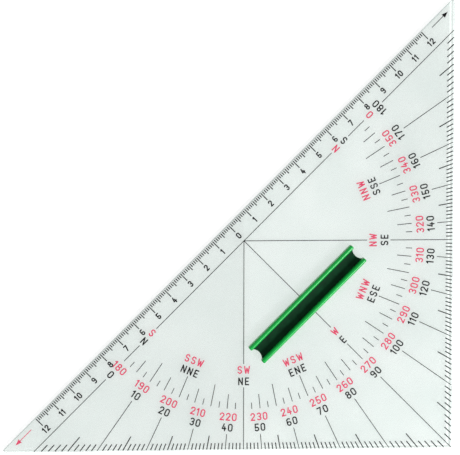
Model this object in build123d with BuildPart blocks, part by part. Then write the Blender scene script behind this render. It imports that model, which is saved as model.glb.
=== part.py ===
from build123d import *
from functools import lru_cache
from math import cos, radians, sin, sqrt
import os

# A clear 45-45-90 navigation set square: a protractor plate with its printed scales and a grip
# that lifts off. Millimetres. The origin is the protractor's centre, on the plate's underside:
# +X runs along the hypotenuse, the right-angle corner points to -Y, and +Z is up off the chart.
# A bearing of 0 degrees points to -X, 90 to the right-angle corner and 180 to +X.

# Plate
leg = 200.0                       # the two short edges
plate_thickness = 2.0
centre_to_hypotenuse = 10.0       # from the protractor's centre to the ruling edge
corner_radius = 0.8
edge_chamfer = 0.35
hypotenuse = leg * sqrt(2)
centre_to_corner = hypotenuse / 2 - centre_to_hypotenuse

# Grip
grip_length = 64.0
grip_width = 10.0
grip_height = 4.5                 # above the plate
grip_from_centre = 39.5           # from the protractor's centre to the grip's middle line
rail_width = 2.0
rail_end_radius = 0.6
rail_top_radius = 0.5
web_length = 60.0                 # at the middle, where its ends curve in the most
web_end_hollow = 1.2              # how far the ends curve in between the rails
web_thickness = 1.0
inlay_thickness = 0.7
inlay_gap = 0.05                  # around the inlay
print_clearance = 0.15            # air between the grip's underside and the printed plate
stud_spacing = 40.0
stud_radius = 2.4
stud_clearance = 0.05
stud_slot = 0.8                   # the slot that lets a stud spring inwards
stud_tip_above_chart = 0.2
stud_tip_chamfer = 0.3
shoulder_radius = 3.0

# Printing
ink = 0.03                        # thickness of the printed layer
fine_line = 0.32                  # the long lines, the ring and the arrows
tick_line = 0.45                  # the ticks of the scale and the short edges
print_margin = 0.4                # from an edge to the outer ends of its ticks
point_angle = 22.5                # between neighbouring lettered points of the compass
scale_half_length = 120           # the scale reads 12 cm each way from the centre
scale_tick_ends = {10: 5.4, 5: 7.0, 1: 8.0}      # how far from the baseline each kind stops
scale_numeral_height = 2.9
scale_numeral_from_centre = 3.3
edge_tick_depth = {5: 6.6, 1: 3.25}              # in from the leg edges, square to them
ring_outer_radius = 74.7
ring_inner_radii = {"point": 64.8, "half": 68.3, "quarter": 71.9}
letter_gap = (54.6, 65.0)         # radii between which the long lines stop for the letters
numeral_gap = (74.7, 86.1)        # and for the degree numerals
degree_numeral_radius = 83.1
reciprocal_numeral_radius = 78.3
end_label_aside = 0.75            # a wide label beside the baseline keeps off the scale
last_label_outwards = 0.5         # and the last one off the red numeral inside it
letter_radius = 62.3
reciprocal_letter_radius = 57.2
character_height = 3.5
character_width = 0.6             # of the height
character_advance = {"1": 0.5, "N": 0.86, "S": 0.84, "W": 0.98}   # of the height
usual_advance = 0.78
pen = 0.55                        # width of the strokes
points = ["N", "NNE", "NE", "ENE", "E", "ESE", "SE", "SSE", "S"]
reciprocal_points = ["S", "SSW", "SW", "WSW", "W", "WNW", "NW", "NNW", "N"]
arrow_from_baseline = 7.7
arrow_tail, arrow_tip = 124.8, 134.6
arrow_head_length, arrow_head_width = 2.8, 2.0

print_plane = Plane.XY.offset(plate_thickness)
grip_base = plate_thickness + print_clearance
os.makedirs("parts", exist_ok=True)


def finish(part, name):
    """Label a finished piece and write it."""
    part.label = name
    export_step(part, f"parts/{name}.step")


def on_bearing(bearing, radius):
    """A place at a bearing and a distance from the protractor's centre, X pointing outwards."""
    angle = radians(180 + bearing)
    return Location((radius * cos(angle), radius * sin(angle)), 180 + bearing)


def radius_to_leg(bearing, depth):
    """The distance from the centre, on a bearing, to a line this deep inside the leg edge."""
    across = centre_to_corner - depth * sqrt(2)
    return across / (abs(cos(radians(bearing))) + sin(radians(bearing)))


def strip(bearing, inner, outer, width=fine_line):
    """Add a thin radial line to the sketch that is open."""
    with Locations(on_bearing(bearing, inner)):
        Rectangle(outer - inner, width, align=(Align.MIN, Align.CENTER))


# Lettering: each character is drawn with a round pen in a box of width w and height h, whose
# centre is the origin. A character is a list of strokes, and each stroke is a run of lines or
# arcs. Round dots of the pen's width finish the free ends and the sharp corners.
def bowl(x, y, radius, start, sweep):
    CenterArc((x, y), radius, start, sweep)


def draw_0(w, h):
    for side in (-1, 1):
        Line((side * w, w - h), (side * w, h - w))
    bowl(0, h - w, w, 0, 180)
    bowl(0, w - h, w, 180, 180)
    return []


def draw_1(w, h):
    corners = [(-0.55 * w, 0.62 * h), (0.25 * w, h), (0.25 * w, -h)]
    Polyline(*corners)
    return corners


def draw_2(w, h):
    bowl(0, h - w, w, 170, -210)
    neck = (w * cos(radians(40)), h - w - w * sin(radians(40)))
    Polyline(neck, (-w, -h), (w, -h))
    return [(-w * cos(radians(10)), h - w + w * sin(radians(10))), neck, (-w, -h), (w, -h)]


def draw_3(w, h):
    r = h / 2
    middle = w - r
    bowl(middle, r, r, 150, -240)
    bowl(middle, -r, r, 90, -240)
    end = (middle - r * cos(radians(30)), r + r * sin(radians(30)))
    return [end, (middle, 0), (end[0], -end[1])]


def draw_4(w, h):
    slope = [(-0.1 * w, h), (-w, -0.4 * h), (w, -0.4 * h)]
    upright = [(0.35 * w, 0.15 * h), (0.35 * w, -h)]
    Polyline(*slope)
    Line(*upright)
    return slope + upright


def draw_5(w, h):
    shoulder = (-w * cos(radians(35)), w - h + w * sin(radians(35)))
    Polyline((0.9 * w, h), (-0.75 * w, h), shoulder)
    bowl(0, w - h, w, 145, -300)
    tip = (w * cos(radians(205)), w - h + w * sin(radians(205)))
    return [(0.9 * w, h), (-0.75 * w, h), shoulder, tip]


def draw_6(w, h, turn=1):
    bowl(0, turn * (w - h), w, 0, 360)
    Line((-turn * w, turn * (w - h)), (-turn * w, turn * (h - w)))
    bowl(0, turn * (h - w), w, 90 + 90 * turn, -130)
    tip_angle = radians(90 + 90 * turn - 130)
    return [(w * cos(tip_angle), turn * (h - w) + w * sin(tip_angle))]


def draw_7(w, h):
    corners = [(-w, h), (w, h), (-0.35 * w, -h)]
    Polyline(*corners)
    return corners


def draw_8(w, h):
    upper = 0.46 * h
    bowl(0, h - upper, upper, 0, 360)
    bowl(0, -upper, h - upper, 0, 360)
    return []


def draw_9(w, h):
    return draw_6(w, h, turn=-1)


def draw_n(w, h):
    corners = [(-w, -h), (-w, h), (w, -h), (w, h)]
    Polyline(*corners)
    return corners


def draw_s(w, h):
    r = h / 2
    bowl(0, r, r, 25, 245)
    bowl(0, -r, r, 90, -245)
    tip = (r * cos(radians(25)), r + r * sin(radians(25)))
    return [tip, (0, 0), (-tip[0], -tip[1])]


def draw_e(w, h):
    frame = [(0.85 * w, h), (-0.85 * w, h), (-0.85 * w, -h), (0.85 * w, -h)]
    bar = [(-0.85 * w, 0), (0.6 * w, 0)]
    Polyline(*frame)
    Line(*bar)
    return frame + bar


def draw_w(w, h):
    corners = [(-1.35 * w, h), (-0.7 * w, -h), (0, 0.5 * h), (0.7 * w, -h), (1.35 * w, h)]
    Polyline(*corners)
    return corners


strokes = {
    "0": draw_0, "1": draw_1, "2": draw_2, "3": draw_3, "4": draw_4, "5": draw_5, "6": draw_6,
    "7": draw_7, "8": draw_8, "9": draw_9, "N": draw_n, "S": draw_s, "E": draw_e, "W": draw_w,
}


@lru_cache
def character(letter, height):
    """One character of the given overall height, as a flat face about the origin."""
    half_height = (height - pen) / 2
    half_width = (height * character_width - pen) / 2
    with BuildSketch() as face:
        with BuildLine(mode=Mode.PRIVATE) as path:
            dots = strokes[letter](half_width, half_height)
        for stroke in path.edges():
            halves = [stroke.trim(0, 0.5), stroke.trim(0.5, 1)] if stroke.is_closed else [stroke]
            for half in halves:
                trace(half, line_width=pen)
        if dots:
            with Locations(*dots):
                Circle(pen / 2)
    return face.sketch


def label(text, place, height=character_height):
    """Add a centred label at a location, its reading direction along the location's X."""
    advances = [height * character_advance.get(letter, usual_advance) for letter in text]
    start = -sum(advances) / 2
    for letter, advance in zip(text, advances):
        with Locations(place * Location((start + advance / 2, 0))):
            add(character(letter, height))
        start += advance


def bearing_label(text, bearing, radius, aside=0.0):
    """Add a label whose top points to the protractor's centre."""
    place = on_bearing(bearing, radius) * Location((0, 0), 90) * Location((aside, 0))
    label(text, place)


# Plate, with a hole for each stud of the grip
with BuildPart() as plate:
    with BuildSketch():
        with BuildLine():
            Polyline(
                (-hypotenuse / 2, centre_to_hypotenuse),
                (0, -centre_to_corner),
                (hypotenuse / 2, centre_to_hypotenuse),
                close=True,
            )
        outline = make_face()
        fillet(outline.vertices(), corner_radius)
    extrude(amount=plate_thickness)
    rims = plate.faces().sort_by(Axis.Z)
    chamfer(rims[0].edges() + rims[-1].edges(), edge_chamfer)
    with Locations((0, -grip_from_centre)):
        with GridLocations(stud_spacing, 1, 2, 1):
            Hole(stud_radius + stud_clearance)
finish(plate.part, "plate")

# Grip: two rails joined by a web, standing on the shoulders of two split studs
trough_width = grip_width - 2 * rail_width


def web_outline(gap=0.0):
    """Draw the web's outline, whose ends curve in between the rails, made smaller by gap."""
    half_length = web_length / 2 - gap
    half_width = trough_width / 2 - gap
    end = half_length + web_end_hollow
    ThreePointArc((end, -half_width), (half_length, 0), (end, half_width))
    ThreePointArc((-end, -half_width), (-half_length, 0), (-end, half_width))
    Line((-end, half_width), (end, half_width))
    Line((-end, -half_width), (end, -half_width))


with BuildPart() as grip_frame:
    with BuildSketch(Plane((0, -grip_from_centre, grip_base))):
        with GridLocations(1, grip_width - rail_width, 1, 2):
            RectangleRounded(grip_length, rail_width, rail_end_radius)
    extrude(amount=grip_height - print_clearance)
    fillet(grip_frame.edges().group_by(Axis.Z)[-1], rail_top_radius)
    with BuildSketch(Plane((0, -grip_from_centre, grip_base))):
        with BuildLine():
            web_outline()
        make_face()
    extrude(amount=web_thickness)
    with BuildSketch(Plane((0, -grip_from_centre, plate_thickness))):
        with GridLocations(stud_spacing, 1, 2, 1):
            Circle(shoulder_radius)
    extrude(amount=print_clearance)
    with BuildSketch(Plane((0, -grip_from_centre, stud_tip_above_chart))):
        with GridLocations(stud_spacing, 1, 2, 1):
            Circle(stud_radius)
            Rectangle(stud_slot, 3 * stud_radius, mode=Mode.SUBTRACT)
    extrude(amount=plate_thickness - stud_tip_above_chart)
    tips = grip_frame.faces().group_by(Axis.Z)[0]
    chamfer(tips.edges().filter_by(GeomType.CIRCLE), stud_tip_chamfer)
finish(grip_frame.part, "grip_frame")

# Soft strip that lines the trough between the rails
with BuildPart() as grip_inlay:
    with BuildSketch(Plane((0, -grip_from_centre, grip_base + web_thickness))):
        with BuildLine():
            web_outline(inlay_gap)
        make_face()
    extrude(amount=inlay_thickness)
finish(grip_inlay.part, "grip_inlay")

# The baseline and the lines to 45, 90 and 135 degrees, which meet in the centre and stop
# where a letter or a numeral stands
with BuildPart() as rose_lines:
    with BuildSketch(print_plane):
        for bearing in (45, 135):
            strip(bearing, 0, letter_gap[0])
            strip(bearing, letter_gap[1], radius_to_leg(bearing, print_margin))
        for bearing in (0, 90, 180):
            strip(bearing, 0, letter_gap[0])
            strip(bearing, letter_gap[1], numeral_gap[0])
            strip(bearing, numeral_gap[1], radius_to_leg(bearing, print_margin))
    extrude(amount=ink)
finish(rose_lines.part, "rose_lines")


def ring_ticks(name, inner, numbers):
    """Write the ring's ticks of one kind; numbers count the quarter points from 0 degrees."""
    with BuildPart() as ticks:
        with BuildSketch(print_plane):
            for number in numbers:
                strip(number * point_angle / 8, inner, ring_outer_radius)
        extrude(amount=ink)
    finish(ticks.part, name)


ring_ticks("point_ticks", ring_inner_radii["point"], [n for n in range(4, 64, 4) if n % 16])
ring_ticks("half_point_ticks", ring_inner_radii["half"], range(2, 64, 4))
ring_ticks("quarter_point_ticks", ring_inner_radii["quarter"], range(1, 64, 2))


def edge_lines(name, bearings, inner_radius, width=tick_line):
    """Write the degree lines of one kind, which end on the two short edges."""
    with BuildPart() as lines:
        with BuildSketch(print_plane):
            for bearing in bearings:
                outer = radius_to_leg(bearing, print_margin)
                strip(bearing, inner_radius(bearing), outer, width)
        extrude(amount=ink)
    finish(lines.part, name)


edge_lines(
    "one_degree_ticks",
    [bearing for bearing in range(181) if bearing % 5],
    lambda bearing: radius_to_leg(bearing, edge_tick_depth[1]),
)
edge_lines(
    "five_degree_ticks",
    [bearing for bearing in range(5, 180, 10) if bearing % 45],
    lambda bearing: radius_to_leg(bearing, edge_tick_depth[5]),
)
edge_lines(
    "ten_degree_lines",
    [bearing for bearing in range(10, 180, 10) if bearing % 90],
    lambda bearing: numeral_gap[1],
    fine_line,
)


def scale_ticks(name, kind, places):
    """Write the ticks of the millimetre scale that stand at these places along it."""
    outer = centre_to_hypotenuse - print_margin
    with BuildPart() as ticks:
        with BuildSketch(print_plane):
            with Locations(*[(place, outer) for place in places]):
                Rectangle(tick_line, outer - scale_tick_ends[kind], align=(Align.CENTER, Align.MAX))
        extrude(amount=ink)
    finish(ticks.part, name)


millimetres = range(-scale_half_length, scale_half_length + 1)
scale_ticks("millimetre_ticks", 1, [mm for mm in millimetres if mm % 5])
scale_ticks("five_millimetre_ticks", 5, [mm for mm in millimetres if mm % 10 == 5])
scale_ticks("centimetre_ticks", 10, [mm for mm in millimetres if mm % 10 == 0])

with BuildPart() as centimetre_numerals:
    with BuildSketch(print_plane):
        for mm in millimetres[::10]:
            label(str(abs(mm) // 10), Location((mm, scale_numeral_from_centre)), scale_numeral_height)
    extrude(amount=ink)
finish(centimetre_numerals.part, "centimetre_numerals")

# Degrees in black, and the reciprocal bearing, 180 degrees on, in red inside them
with BuildPart() as degree_numerals:
    with BuildSketch(print_plane):
        for bearing in range(0, 180, 10):
            bearing_label(str(bearing), bearing, degree_numeral_radius)
        bearing_label("180", 180, degree_numeral_radius + last_label_outwards, -end_label_aside)
    extrude(amount=ink)
finish(degree_numerals.part, "degree_numerals")

with BuildPart() as reciprocal_numerals:
    with BuildSketch(print_plane):
        bearing_label("180", 0, reciprocal_numeral_radius, end_label_aside)
        for bearing in range(10, 181, 10):
            bearing_label(str((bearing + 180) % 360), bearing, reciprocal_numeral_radius)
    extrude(amount=ink)
finish(reciprocal_numerals.part, "reciprocal_numerals")


def compass_letters(name, names, radius):
    """Write one letter or group of letters at every lettered point of the compass."""
    with BuildPart() as letters:
        with BuildSketch(print_plane):
            for number, text in enumerate(names):
                bearing_label(text, number * point_angle, radius)
        extrude(amount=ink)
    finish(letters.part, name)


compass_letters("compass_letters", points, letter_radius)
compass_letters("reciprocal_letters", reciprocal_points, reciprocal_letter_radius)


def arrow(name, side):
    """Write one arrow, which points to the tip on this side of the plate."""
    with BuildPart() as mark:
        with BuildSketch(Plane((0, arrow_from_baseline, plate_thickness))):
            neck = arrow_tip - arrow_head_length
            with Locations((side * (arrow_tail + neck) / 2, 0)):
                Rectangle(neck - arrow_tail, fine_line)
            with BuildLine():
                Polyline(
                    (side * neck, -arrow_head_width / 2),
                    (side * arrow_tip, 0),
                    (side * neck, arrow_head_width / 2),
                    close=True,
                )
            make_face()
        extrude(amount=ink)
    finish(mark.part, name)


arrow("black_arrow", 1)
arrow("red_arrow", -1)
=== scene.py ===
# %% [markdown]
# A navigation set square is one sheet of clear acrylic, printed with a protractor and a
# centimetre scale, and it has a green finger grip that pulls off. The sheet and its print come
# as solids of the right shape, so this lesson keeps them and gives them their finish. It makes
# the grip anew, because a moulding has softer edges than a machined block.

# %% Load the frame
import math

import bpy
import numpy as np
from mathutils import Matrix, Vector


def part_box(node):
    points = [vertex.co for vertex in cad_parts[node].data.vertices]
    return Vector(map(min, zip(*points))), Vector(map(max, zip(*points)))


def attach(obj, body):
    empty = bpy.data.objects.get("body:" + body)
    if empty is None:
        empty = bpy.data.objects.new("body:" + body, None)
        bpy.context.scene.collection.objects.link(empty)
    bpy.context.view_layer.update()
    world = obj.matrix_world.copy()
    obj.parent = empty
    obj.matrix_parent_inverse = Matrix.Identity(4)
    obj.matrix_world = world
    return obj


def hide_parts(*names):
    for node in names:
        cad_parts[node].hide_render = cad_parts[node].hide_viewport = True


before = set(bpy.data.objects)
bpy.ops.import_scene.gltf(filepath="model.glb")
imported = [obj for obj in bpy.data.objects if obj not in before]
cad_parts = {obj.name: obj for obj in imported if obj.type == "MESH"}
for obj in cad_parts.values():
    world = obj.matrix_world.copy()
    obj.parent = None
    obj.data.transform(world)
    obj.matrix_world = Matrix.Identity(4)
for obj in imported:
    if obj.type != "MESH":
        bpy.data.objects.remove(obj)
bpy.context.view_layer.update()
MM = 0.001
plate_low, plate_high = [np.array(corner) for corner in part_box("plate")]
grip_low, grip_high = [np.array(corner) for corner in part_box("grip_frame")]
inlay_low, inlay_high = [np.array(corner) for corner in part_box("grip_inlay")]
middle_y = (grip_low[1] + grip_high[1]) / 2
print("plate, mm:", np.round((plate_high - plate_low) / MM, 2))
print("grip, mm:", np.round((grip_high - grip_low) / MM, 2))

# %% [markdown]
# Every new piece here is a stack of closed loops, like the ribs of a boat, with a skin from each
# loop to the next and a cap on both ends. A whole stack is one array, so numpy writes it without
# a loop over points. A skin that was wound the wrong way would face inwards, so the volume that
# it shuts in is worked out, and the faces are turned round where that comes out negative.

# %% Skin a stack of loops
def skin(stacks):
    """Points and triangles of closed stacks, each an array of rows x columns x 3.

    Point k of a row joins points k and k + 1 of the next row, and a fan from the mean of the
    first and last rows shuts the ends. The volume is the sum of p0 . (p1 x p2) / 6.
    """
    all_points, all_faces, start = [], [], 0
    for loops in stacks:
        rows, columns = loops.shape[:2]
        caps = np.stack([loops[0].mean(axis=0), loops[-1].mean(axis=0)])
        points = np.concatenate([loops.reshape(-1, 3), caps])
        index = np.arange(rows * columns).reshape(rows, columns)
        after = np.roll(index, -1, axis=1)
        first_cap = np.full(columns, rows * columns)
        faces = np.concatenate([
            np.stack([index[:-1], after[:-1], after[1:]], axis=-1).reshape(-1, 3),
            np.stack([index[:-1], after[1:], index[1:]], axis=-1).reshape(-1, 3),
            np.stack([after[0], index[0], first_cap], axis=-1),
            np.stack([index[-1], after[-1], first_cap + 1], axis=-1),
        ])
        corners = points[faces] - points.mean(axis=0)
        crossed = np.cross(corners[:, 1], corners[:, 2])
        volume = np.einsum("ij,ij->i", corners[:, 0], crossed).sum() / 6
        if volume < 0:
            faces = faces[:, ::-1]
        all_points.append(points)
        all_faces.append(faces + start)
        start += len(points)
    return np.concatenate(all_points), np.concatenate(all_faces)


def new_piece(name, stacks, material, sharp=35):
    """One object from closed stacks, smooth except where faces meet at more than sharp degrees."""
    points, faces = skin(stacks)
    mesh = bpy.data.meshes.new(name)
    mesh.vertices.add(len(points))
    mesh.vertices.foreach_set("co", points.ravel())
    mesh.loops.add(faces.size)
    mesh.loops.foreach_set("vertex_index", faces.ravel())
    mesh.polygons.add(len(faces))
    mesh.polygons.foreach_set("loop_start", np.arange(0, faces.size, 3))
    mesh.polygons.foreach_set("use_smooth", np.ones(len(faces), dtype=bool))
    mesh.update(calc_edges=True)
    mesh.set_sharp_from_angle(angle=math.radians(sharp))
    mesh.materials.append(material)
    piece = bpy.data.objects.new(name, mesh)
    bpy.context.scene.collection.objects.link(piece)
    print(name, "triangles:", len(faces), "closed parts:", len(stacks))
    return piece


# %% [markdown]
# Most of the grip has a rounded rectangle as its section. A corner is a quarter circle, and an
# inset moves all four sides inwards while each corner's radius shrinks by as much. A row of
# sections with a growing inset is how an end gets rounded over.

# %% A rounded rectangle
LEAST_RADIUS = 0.01 * MM


def rounded_sections(low, high, base_radius, top_radius, inset, steps=8):
    """Loops of a rectangle from low to high, (across, up), each with its own inset.

    Each corner is an arc about a point that lies inset plus radius inside both sides. Its radius
    is what the inset leaves of it, and never less than LEAST_RADIUS, so that a corner doesn't
    fold over. The sides may be numbers or one per row.
    """
    inset = np.asarray(inset, dtype=float)[:, None]
    quarter = np.linspace(0, math.pi / 2, steps)[None, :]
    left, base = [np.broadcast_to(value, len(inset))[:, None] for value in low]
    right, top = [np.broadcast_to(value, len(inset))[:, None] for value in high]
    loop = []
    corners = [(right, base, base_radius), (right, top, top_radius),
               (left, top, top_radius), (left, base, base_radius)]
    for turn, (side, level, radius) in enumerate(corners):
        angle = quarter + (turn - 1) * math.pi / 2
        left_over = np.maximum(radius - inset, LEAST_RADIUS)
        to_centre = inset + left_over
        inwards = -1 if turn < 2 else 1
        upwards = -1 if turn in (1, 2) else 1
        across = side + inwards * to_centre + left_over * np.cos(angle)
        up = level + upwards * to_centre + left_over * np.sin(angle)
        loop.append(np.stack([across, up], axis=-1))
    return np.concatenate(loop, axis=1)


# %% [markdown]
# A surface of one value looks like a computer's, so every finish starts from a slow, cloudy
# variation. It is a node group, built once, because the sheet, the inks, the green plastic and
# the rubber all use it, each with its own size of cloud and its own two colours. A Mix node
# keeps sockets for numbers, vectors and colours in one list, so its colour ones get names here.

# %% Cloudy variation, as a node group
def new_group(name, inputs, outputs):
    """An empty node group; inputs and outputs give each socket's type, and an input's value."""
    group = bpy.data.node_groups.new(name, "ShaderNodeTree")
    for socket, (kind, value) in inputs.items():
        made = group.interface.new_socket(socket, in_out="INPUT", socket_type="NodeSocket" + kind)
        made.default_value = value
    for socket, kind in outputs.items():
        group.interface.new_socket(socket, in_out="OUTPUT", socket_type="NodeSocket" + kind)
    return group, group.nodes.new("NodeGroupInput"), group.nodes.new("NodeGroupOutput")


def add_node(tree, kind, values=None, **settings):
    """A node of this kind, with its settings and the values of its unlinked inputs."""
    node = tree.nodes.new("ShaderNode" + kind)
    for setting, value in settings.items():
        setattr(node, setting, value)
    for socket, value in (values or {}).items():
        node.inputs[socket].default_value = value
    return node


MIX_FACTOR, MIX_LOW, MIX_HIGH, MIX_RESULT = 0, 6, 7, 2
cloudy, taken, given = new_group(
    "cloudy_variation",
    {"Scale": ("Float", 60.0), "Low": ("Color", (0, 0, 0, 1)), "High": ("Color", (1, 1, 1, 1))},
    {"Color": "Color", "Mask": "Float"},
)
place = add_node(cloudy, "TexCoord")
cloud = add_node(cloudy, "TexNoise", {"Detail": 5.0, "Roughness": 0.55})
spread = add_node(cloudy, "MapRange", {"From Min": 0.33, "From Max": 0.67})
blend = add_node(cloudy, "Mix", data_type="RGBA")
cloudy.links.new(place.outputs["Object"], cloud.inputs["Vector"])
cloudy.links.new(taken.outputs["Scale"], cloud.inputs["Scale"])
cloudy.links.new(cloud.outputs["Fac"], spread.inputs["Value"])
cloudy.links.new(spread.outputs["Result"], blend.inputs[MIX_FACTOR])
cloudy.links.new(taken.outputs["Low"], blend.inputs[MIX_LOW])
cloudy.links.new(taken.outputs["High"], blend.inputs[MIX_HIGH])
cloudy.links.new(blend.outputs[MIX_RESULT], given.inputs["Color"])
cloudy.links.new(spread.outputs["Result"], given.inputs["Mask"])
print("group:", cloudy.name, "nodes:", len(cloudy.nodes))

# %% [markdown]
# A chart tool slides over paper and in and out of a drawer, so the sheet and the grip carry hair
# scratches. Noise that is stretched eighty times one way looks like a bundle of hairs, and
# keeping only its crests leaves a few. Two bundles that cross look handled.

# %% Hair scratches, as a node group
scratches, taken, given = new_group(
    "hair_scratches", {"Scale": ("Float", 100.0), "Keep": ("Float", 0.7)}, {"Mask": "Float"}
)
place = add_node(scratches, "TexCoord")
HAIR_SLANTS = (0.5, -0.9)
HAIR_STRETCH = (0.02, 1.6, 0.6)
bundles = []
for slant in HAIR_SLANTS:
    turned = add_node(scratches, "Mapping", {"Rotation": (0, 0, slant), "Scale": HAIR_STRETCH})
    hairs = add_node(scratches, "TexNoise", {"Detail": 2.0})
    crest = add_node(scratches, "MapRange", {"From Max": 0.8})
    scratches.links.new(place.outputs["Object"], turned.inputs["Vector"])
    scratches.links.new(turned.outputs["Vector"], hairs.inputs["Vector"])
    scratches.links.new(taken.outputs["Scale"], hairs.inputs["Scale"])
    scratches.links.new(hairs.outputs["Fac"], crest.inputs["Value"])
    scratches.links.new(taken.outputs["Keep"], crest.inputs["From Min"])
    bundles.append(crest)
either = add_node(scratches, "Math", operation="MAXIMUM")
for bundle, socket in zip(bundles, either.inputs):
    scratches.links.new(bundle.outputs["Result"], socket)
scratches.links.new(either.outputs["Value"], given.inputs["Mask"])
print("group:", scratches.name, "nodes:", len(scratches.nodes))

# %% [markdown]
# Every finish is a material round one Principled shader. A number that is the same all over, such
# as the sheen of an ink, is set on the shader's own socket, and what varies is linked to it.

# %% A material and its shader
def new_material(name, **sockets):
    """A material, its node tree and its Principled shader, whose sockets are set by name."""
    material = bpy.data.materials.new(name)
    material.use_nodes = True
    shader = material.node_tree.nodes["Principled BSDF"]
    for socket, value in sockets.items():
        shader.inputs[socket.replace("_", " ")].default_value = value
    return material, material.node_tree, shader


def use_group(tree, group, **values):
    """One use of a node group in a material, with its own values."""
    node = tree.nodes.new("ShaderNodeGroup")
    node.node_tree = group
    for socket, value in values.items():
        node.inputs[socket].default_value = value
    return node


def vary_roughness(tree, shader, mask, low, high):
    """Let a mask from 0 to 1 move the roughness from low to high."""
    amount = add_node(tree, "MapRange", {"To Min": low, "To Max": high})
    tree.links.new(mask, amount.inputs["Value"])
    tree.links.new(amount.outputs["Result"], shader.inputs["Roughness"])


def add_relief(tree, shader, height, distance):
    """Bump from a height, in which 1 stands for distance metres."""
    relief = add_node(tree, "Bump", {"Strength": 1.0, "Distance": distance})
    tree.links.new(height, relief.inputs["Height"])
    tree.links.new(relief.outputs["Normal"], shader.inputs["Normal"])


def paint(names, material):
    """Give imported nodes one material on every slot."""
    for name in names:
        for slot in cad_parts[name].material_slots:
            slot.material = material
    print(material.name, "on", len(names), "nodes")


# %% [markdown]
# The sheet is thin and lies flat, so what is under it shows without bending, and a see-through
# shader is truer to the eye here than heavy glass, which also costs many samples. Each face
# takes a little of the light, and mirrors more of it the flatter it is seen. A faint haze of
# rubbing and dust gives the cool, milky tone of used acrylic. Sawn and bevelled edges scatter
# light, so less is seen through them. They are where the surface doesn't face straight up or
# down, which the upright part of its normal tells.

# %% Clear acrylic
ACRYLIC_IOR = 1.49
FACE_TINT = (0.950, 0.965, 0.958, 1)
HAZE_SHARE = 0.035
EDGE_SHARE = 0.15
FACE_UPRIGHT = 0.95
EDGE_UPRIGHT = 0.6

clear, tree, shader = new_material("clear_acrylic", IOR=ACRYLIC_IOR)
haze = use_group(tree, cloudy, Scale=45.0, Low=(0.72, 0.82, 0.79, 1), High=(0.90, 0.95, 0.93, 1))
hairs = use_group(tree, scratches, Scale=260.0, Keep=0.66)
tree.links.new(haze.outputs["Color"], shader.inputs["Base Color"])
vary_roughness(tree, shader, haze.outputs["Mask"], 0.05, 0.16)
add_relief(tree, shader, hairs.outputs["Mask"], 0.02 * MM)

through = add_node(tree, "BsdfTransparent", {"Color": FACE_TINT})
mirrored = add_node(tree, "Fresnel", {"IOR": ACRYLIC_IOR})
facing = add_node(tree, "NewGeometry")
parts = add_node(tree, "SeparateXYZ")
upright = add_node(tree, "Math", operation="ABSOLUTE")
edge = add_node(tree, "MapRange", {"From Min": FACE_UPRIGHT, "From Max": EDGE_UPRIGHT,
                                   "To Min": HAZE_SHARE, "To Max": EDGE_SHARE})
share = add_node(tree, "Math", operation="ADD", use_clamp=True)
sheet = add_node(tree, "MixShader")
tree.links.new(facing.outputs["True Normal"], parts.inputs["Vector"])
tree.links.new(parts.outputs["Z"], upright.inputs[0])
tree.links.new(upright.outputs["Value"], edge.inputs["Value"])
tree.links.new(edge.outputs["Result"], share.inputs[0])
tree.links.new(mirrored.outputs["Fac"], share.inputs[1])
tree.links.new(share.outputs["Value"], sheet.inputs["Fac"])
tree.links.new(through.outputs["BSDF"], sheet.inputs[1])
tree.links.new(shader.outputs["BSDF"], sheet.inputs[2])
tree.links.new(sheet.outputs["Shader"], tree.nodes["Material Output"].inputs["Surface"])
paint(["plate"], clear)

# %% [markdown]
# The scales are screen printed. Ink that is pushed through a mesh lies in a thin, slightly
# uneven film: a little greyer where less of it went through, with a soft satin sheen. The black
# and the red differ only in their two colours, so one function makes both.

# %% Printing inks
def printing_ink(name, thin, full):
    """Ink between the colour of a thin film and of a full one, in clouds about 1 mm wide."""
    material, tree, shader = new_material(name, Specular_IOR_Level=0.12)
    film = use_group(tree, cloudy, Scale=900.0, Low=full, High=thin)
    tree.links.new(film.outputs["Color"], shader.inputs["Base Color"])
    vary_roughness(tree, shader, film.outputs["Mask"], 0.38, 0.6)
    add_relief(tree, shader, film.outputs["Mask"], 0.004 * MM)
    return material


black_print = ["rose_lines", "point_ticks", "half_point_ticks", "quarter_point_ticks",
               "one_degree_ticks", "five_degree_ticks", "ten_degree_lines", "millimetre_ticks",
               "five_millimetre_ticks", "centimetre_ticks", "centimetre_numerals",
               "degree_numerals", "compass_letters", "black_arrow"]
red_print = ["reciprocal_numerals", "reciprocal_letters", "red_arrow"]
black_ink = printing_ink("black_ink", (0.009, 0.009, 0.010, 1), (0.001, 0.001, 0.0015, 1))
red_ink = printing_ink("red_ink", (0.72, 0.10, 0.18, 1), (0.62, 0.04, 0.10, 1))
paint(black_print, black_ink)
paint(red_print, red_ink)

# %% [markdown]
# The grip is moulded in bright green plastic. Moulded plastic has a very fine skin from the
# sparked steel of its mould, slight flow marks in its colour, and hair scratches where fingers
# and the table rub it.

# %% Moulded green plastic
GRAIN_SHARE = 0.5

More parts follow.
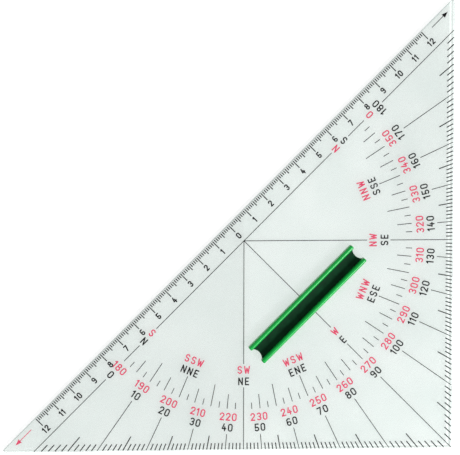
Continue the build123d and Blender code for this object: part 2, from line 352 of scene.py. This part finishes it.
green, tree, shader = new_material("green_plastic", Specular_IOR_Level=0.3)
flow = use_group(tree, cloudy, Scale=130.0,
                 Low=(0.002, 0.36, 0.050, 1), High=(0.004, 0.43, 0.068, 1))
hairs = use_group(tree, scratches, Scale=420.0, Keep=0.62)
skin_grain = add_node(tree, "TexNoise", {"Scale": 5200.0, "Detail": 1.0})
place = add_node(tree, "TexCoord")
relief = add_node(tree, "Math", {1: GRAIN_SHARE}, operation="MULTIPLY_ADD")
tree.links.new(flow.outputs["Color"], shader.inputs["Base Color"])
vary_roughness(tree, shader, hairs.outputs["Mask"], 0.26, 0.5)
tree.links.new(place.outputs["Object"], skin_grain.inputs["Vector"])
tree.links.new(skin_grain.outputs["Fac"], relief.inputs[0])
tree.links.new(hairs.outputs["Mask"], relief.inputs[2])
add_relief(tree, shader, relief.outputs["Value"], 0.006 * MM)
print("green plastic nodes:", len(tree.nodes))

# %% [markdown]
# Between its rails the grip is lined with a dark rubber strip. Rubber is nearly black, has
# almost no gloss, and its surface is a fine leathery pebble, which Voronoi cells give. The green
# tint of its colours is painted light: the green that the rails throw onto it.

# %% Dark rubber
rubber, tree, shader = new_material("black_rubber", Specular_IOR_Level=0.06)
# Both colours are tinted green, and that tint is painted light from the green rails. The rest is
# the rubber's own near-black and its dust.
dust_and_painted_green = use_group(tree, cloudy, Scale=240.0,
                 Low=(0.0010, 0.020, 0.007, 1), High=(0.003, 0.040, 0.014, 1))
pebble = add_node(tree, "TexVoronoi", {"Scale": 2600.0})
place = add_node(tree, "TexCoord")
tree.links.new(dust_and_painted_green.outputs["Color"], shader.inputs["Base Color"])
vary_roughness(tree, shader, dust_and_painted_green.outputs["Mask"], 0.45, 0.65)
tree.links.new(place.outputs["Object"], pebble.inputs["Vector"])
add_relief(tree, shader, pebble.outputs["Distance"], 0.02 * MM)
print("rubber nodes:", len(tree.nodes))

# %% [markdown]
# Each rail is a bar with a softly domed top. Its section is carried along the grip, and at both
# ends the inset grows along a quarter circle, which rounds the ends over. The grip stands a
# little clear of the sheet, so that it doesn't rub the print away.

# %% Rails
RAIL_WIDTH = 2.0 * MM
RAIL_TOP_RADIUS = 0.97 * MM
RAIL_BASE_RADIUS = 0.25 * MM
RAIL_END_RADIUS = 0.6 * MM
PRINT_CLEARANCE = 0.15 * MM
END_STATIONS = 9
MIDDLE_STATIONS = 24
grip_base = plate_high[2] + PRINT_CLEARANCE


def rail(low_y):
    """A bar from low_y, along X, with ends that are rounded over by a radius r.

    At an angle a the end's station lies r sin a outwards, and the inset there is r (1 - cos a).
    """
    around = np.linspace(0, math.pi / 2, END_STATIONS)
    end = grip_high[0] - RAIL_END_RADIUS + RAIL_END_RADIUS * np.sin(around)
    end_inset = RAIL_END_RADIUS * (1 - np.cos(around))
    middle = np.linspace(-end[0], end[0], MIDDLE_STATIONS + 2)[1:-1]
    stations = np.concatenate([-end[::-1], middle, end])
    inset = np.concatenate([end_inset[::-1], np.zeros(MIDDLE_STATIONS), end_inset])
    section = rounded_sections((low_y, grip_base), (low_y + RAIL_WIDTH, grip_high[2]),
                               RAIL_BASE_RADIUS, RAIL_TOP_RADIUS, inset)
    along = np.broadcast_to(stations[:, None, None], section.shape[:2] + (1,))
    return np.concatenate([along, section], axis=-1)


rails = [rail(grip_low[1]), rail(grip_high[1] - RAIL_WIDTH)]
print("rails, mm:", np.round((rails[0].max(axis=(0, 1)) - rails[0].min(axis=(0, 1))) / MM, 2))

# %% [markdown]
# The web joins the rails. Its ends curve in between them, so that a fingernail gets under the
# grip. Here the section lies along the grip, and its length follows the arc of the ends while it
# is carried from one rail to the other. The rubber strip on it has the same outline, a hair
# smaller, and its top is dished for a fingertip.

# %% Web and strip
END_HOLLOW = 1.2 * MM
WEB_THICKNESS = 1.0 * MM
WEB_EDGE_RADIUS = 0.12 * MM
WEB_INTO_RAILS = 0.2 * MM
WEB_PAST_STRIP = 0.05 * MM
STRIP_CLEARANCE = 0.05 * MM
STRIP_EDGE_RADIUS = 0.15 * MM
DISH = 0.3 * MM
half_trough = (grip_high[1] - grip_low[1]) / 2 - RAIL_WIDTH


def slab(half_width, corner_length, base, top, dish, edge_radius, rows=25):
    """A slab whose ends are hollow arcs and whose top is a shallow parabola across.

    An arc that is h deep over a trough of half width w has the radius R = (w^2 + h^2) / 2h. At y
    the half length is corner_length - h + R - sqrt(R^2 - y^2), and the top lies
    dish (1 - (y / half_width)^2) below its sides.
    """
    across = np.linspace(-half_width, half_width, rows)
    radius = (half_trough**2 + END_HOLLOW**2) / (2 * END_HOLLOW)
    reach = corner_length - END_HOLLOW + radius - np.sqrt(radius**2 - across**2)
    level = top - dish * (1 - (across / half_width) ** 2)
    section = rounded_sections((-reach, base), (reach, level), edge_radius, edge_radius,
                               np.zeros(rows))
    side = np.broadcast_to((middle_y + across)[:, None], section.shape[:2])
    return np.stack([section[..., 0], side, section[..., 1]], axis=-1)


web = slab(half_trough + WEB_INTO_RAILS, inlay_high[0] + WEB_PAST_STRIP,
           grip_base, grip_base + WEB_THICKNESS, 0.0, WEB_EDGE_RADIUS)
strip = slab(half_trough - STRIP_CLEARANCE, inlay_high[0],
             inlay_low[2], inlay_high[2], DISH, STRIP_EDGE_RADIUS)
print("web half length, mm:", np.round(web[..., 0].max() / MM, 2))

# %% [markdown]
# Under the web two studs plug into the sheet. Each one is split, so that it springs inwards,
# and so it is two half rounds. A half round is an arc closed by a straight side, and its tip is
# bevelled by an inset. A low disc, the shoulder, joins both halves to the web. Each part runs a
# little way into the next, so that the moulding shows no gap.

# %% Studs
STUD_SPACING = 40.0 * MM
STUD_RADIUS = 2.4 * MM
STUD_SLOT = 0.8 * MM
STUD_POINTS = 40
STUD_INTO_SHOULDER = 0.05 * MM
TIP_BEVEL = 0.3 * MM
SLOT_BEVEL_SHARE = 0.3
SHOULDER_RADIUS = 3.0 * MM
SHOULDER_POINTS = 64
SHOULDER_BEVEL = 0.05 * MM
SHOULDER_BEVEL_HEIGHT = 0.04 * MM
SHOULDER_INTO_WEB = 0.1 * MM


def half_stud(centre_x, side):
    """A half round: radius R - inset, cut straight at half the slot plus a share of the inset.

    The arc runs from -w to w, where cos w = cut / radius. The tip's bevel is slightly rounded:
    a third of the inset is left at 0.7 of its height.
    """
    stud_top = plate_high[2] - grip_low[2] + STUD_INTO_SHOULDER
    inset = np.array([TIP_BEVEL, TIP_BEVEL / 3, 0, 0])
    levels = np.array([0, TIP_BEVEL * 0.7, TIP_BEVEL, stud_top])
    radius = (STUD_RADIUS - inset)[:, None]
    cut = (STUD_SLOT / 2 + inset * SLOT_BEVEL_SHARE)[:, None]
    widest = np.arccos(cut / radius)
    angle = widest * np.linspace(-1, 1, STUD_POINTS)[None, :]
    x = centre_x + side * radius * np.cos(angle)
    y = middle_y + radius * np.sin(angle)
    z = np.broadcast_to((grip_low[2] + levels)[:, None], x.shape)
    return np.stack([x, y, z], axis=-1)


def shoulder(centre_x):
    """A low round disc, from the sheet's face into the web, with a bevelled foot."""
    angle = np.linspace(0, 2 * math.pi, SHOULDER_POINTS, endpoint=False)[None, :]
    radius = SHOULDER_RADIUS - np.array([SHOULDER_BEVEL, 0, 0])[:, None]
    levels = np.array([0, SHOULDER_BEVEL_HEIGHT, PRINT_CLEARANCE + SHOULDER_INTO_WEB])[:, None]
    x = centre_x + radius * np.cos(angle)
    y = middle_y + radius * np.sin(angle)
    z = np.broadcast_to(plate_high[2] + levels, x.shape)
    return np.stack([x, y, z], axis=-1)


centres = (-STUD_SPACING / 2, STUD_SPACING / 2)
studs = [half_stud(x, side) for x in centres for side in (-1, 1)]
shoulders = [shoulder(x) for x in centres]
print("half studs:", len(studs), "shoulders:", len(shoulders))

# %% [markdown]
# The rails, the web and the studs are one moulding, so they are one piece, which rides on the
# grip and stands for its solid. The strip is a second one.

# %% Assemble the grip
moulding = new_piece("grip_moulding", rails + [web] + studs + shoulders, green)
lining = new_piece("grip_lining", [strip], rubber)
for piece, node, finish in ((moulding, "grip_frame", "green_plastic"),
                            (lining, "grip_inlay", "black_rubber")):
    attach(piece, "grip")
    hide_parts(node)

# %% [markdown]
# The set square lies on a plain white table that is lit from below as well, as small products
# often are, so the sheet throws next to no shadow.

# %% Table
TABLE_HALF = 3.0
TABLE_GAP = 0.02 * MM
TABLE_GLOW = 0.575
corners = TABLE_HALF * np.array([(-1, -1), (1, -1), (1, 1), (-1, 1)])
table_mesh = bpy.data.meshes.new("table")
table_mesh.from_pydata([(x, y, -TABLE_GAP) for x, y in corners], [], [(0, 1, 2, 3)])
table = bpy.data.objects.new("table", table_mesh)
bpy.context.scene.collection.objects.link(table)
paper, _, _ = new_material("white_table", Base_Color=(0.8, 0.8, 0.8, 1), Roughness=0.9,
                           Emission_Color=(1, 1, 1, 1), Emission_Strength=TABLE_GLOW)
table.data.materials.append(paper)
print("table, m:", 2 * TABLE_HALF, "square")

# %% [markdown]
# The room is evenly white. One soft lamp stands on the side of the square corner, a little over
# 40 degrees up, so each rail shows a bright flank there and the nearer one shades the trough.

# %% Light
ROOM_STRENGTH = 0.52
LAMP_PLACE = (0.15, -1.0, 0.9)
LAMP_TARGET = (0, -0.05, 0)
LAMP_UP = (0, 1, 0.01)
world = bpy.data.worlds.new("studio")
bpy.context.scene.world = world
world.use_nodes = True
room = world.node_tree.nodes["Background"]
room.inputs["Color"].default_value = (1, 1, 1, 1)
room.inputs["Strength"].default_value = ROOM_STRENGTH


def aim(location, target, up):
    """A placing whose -Z looks from location at target, with up as the top of the picture."""
    back = (Vector(location) - Vector(target)).normalized()
    right = Vector(up).cross(back).normalized()
    turned = Matrix((right, back.cross(right), back)).transposed().to_4x4()
    return Matrix.Translation(location) @ turned


lamp = bpy.data.lights.new("key", "AREA")
lamp.shape = "DISK"
lamp.size = 0.25
lamp.energy = 17
key = bpy.data.objects.new("key", lamp)
bpy.context.scene.collection.objects.link(key)
key.matrix_world = aim(LAMP_PLACE, LAMP_TARGET, LAMP_UP)
print("lamp, W:", lamp.energy, "room:", ROOM_STRENGTH)

# %% [markdown]
# The camera looks almost straight down, a little from the hypotenuse's side, and is rolled by
# about 45 degrees, so that the hypotenuse runs from lower left to upper right. Its lens is long,
# so that the scale hardly narrows towards the square corner.

# %% Camera
LENS = 270
TILT = math.radians(7.168)
ROLL = math.radians(45.117)
DISTANCE = 1.5165
TARGET = Vector((-0.00018, 0.00856, plate_high[2]))
camera_data = bpy.data.cameras.new("camera")
camera_data.lens = LENS
camera_data.sensor_width = 36
camera_data.clip_end = 20
camera = bpy.data.objects.new("camera", camera_data)
bpy.context.scene.collection.objects.link(camera)
away = Vector((0, math.sin(TILT), math.cos(TILT)))
top = (math.cos(ROLL), math.sin(ROLL), 0)
camera.matrix_world = aim(TARGET + DISTANCE * away, TARGET, top)
bpy.context.scene.camera = camera
print("camera, m away:", DISTANCE, "lens, mm:", LENS)

# %% [markdown]
# The Standard view transform keeps the white of the table and the red of the ink as they are.
# With its prefilter on, the denoiser smears the millimetre ticks into a grey band, so that is
# turned off.

# %% View
bpy.context.scene.view_settings.view_transform = "Standard"
bpy.context.scene.cycles.denoising_prefilter = "NONE"
